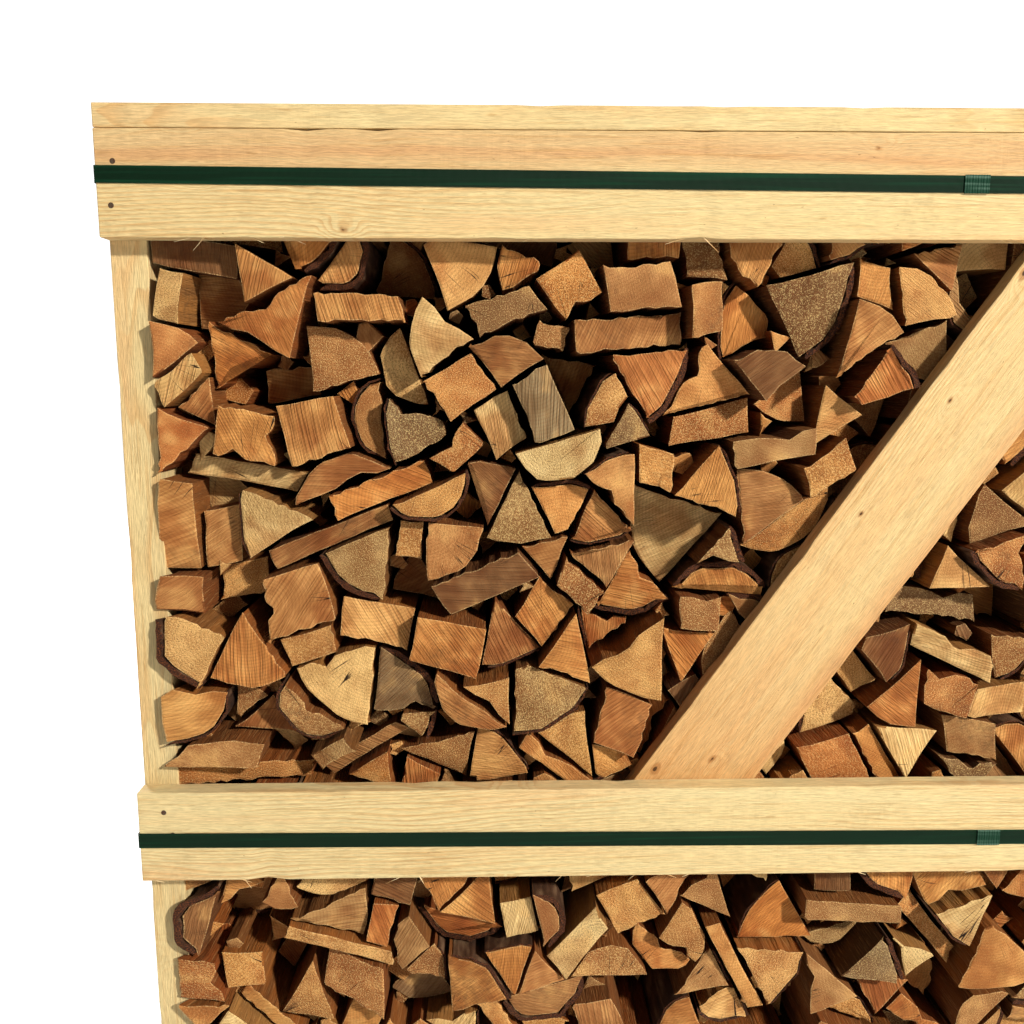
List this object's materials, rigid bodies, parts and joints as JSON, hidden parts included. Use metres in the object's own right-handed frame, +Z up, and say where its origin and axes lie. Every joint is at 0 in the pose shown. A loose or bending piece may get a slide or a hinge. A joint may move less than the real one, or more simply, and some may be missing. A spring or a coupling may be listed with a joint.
{
  "type": "strapped timber crate of split firewood",
  "caption": "Timber crate on a pallet base, packed with split firewood, with horizontal rails, a diagonal brace and flat plastic straps run round all four sides.",
  "frame": {"origin": "on the ground under the middle of the crate", "axes": "+Z up, +X to the right along the front rails, -Y the front where the log ends show"},
  "size_m": [1.1224, 1.1236, 1.53],
  "materials": {
    "sawn_pine": "rough-sawn pale pine with straight grain, knots and a pinkish heartwood band",
    "pallet_timber": "rough-sawn pine, a little greyer and dirtier",
    "firewood": "split and sawn hardwood, tan to orange-brown ends with saw marks, dark bark",
    "strap": "dark green polyester strapping, lightly embossed, satin"
  },
  "bodies": {
    "root": {"bearer_left": "pallet_timber", "bearer_middle": "pallet_timber", "bearer_right": "pallet_timber", "deck_board_1": "pallet_timber", "deck_board_2": "pallet_timber", "deck_board_3": "pallet_timber", "deck_board_4": "pallet_timber", "deck_board_5": "pallet_timber", "deck_board_6": "pallet_timber", "deck_board_7": "pallet_timber", "post_front_left": "sawn_pine", "post_front_right": "sawn_pine", "post_back_left": "sawn_pine", "post_back_right": "sawn_pine", "slat_left_1": "sawn_pine", "slat_left_2": "sawn_pine", "slat_left_3": "sawn_pine", "slat_left_4": "sawn_pine", "slat_right_1": "sawn_pine", "slat_right_2": "sawn_pine", "slat_right_3": "sawn_pine", "slat_right_4": "sawn_pine", "rail_front_bottom": "sawn_pine", "rail_front_middle": "sawn_pine", "rail_front_top": "sawn_pine", "rail_back_bottom": "sawn_pine", "rail_back_middle": "sawn_pine", "rail_back_top": "sawn_pine", "rail_left_bottom": "sawn_pine", "rail_left_middle": "sawn_pine", "rail_left_top": "sawn_pine", "rail_right_bottom": "sawn_pine", "rail_right_middle": "sawn_pine", "rail_right_top": "sawn_pine", "brace_front": "sawn_pine", "brace_back": "sawn_pine", "top_board_1": "sawn_pine", "top_board_2": "sawn_pine", "top_board_3": "sawn_pine", "top_board_4": "sawn_pine", "firewood_row_front": "firewood", "firewood_row_middle": "firewood", "firewood_row_back": "firewood", "strap_middle": "strap", "strap_top": "strap", "strap_joint_middle": "strap", "strap_joint_top": "strap"}
  },
  "joints": []
}
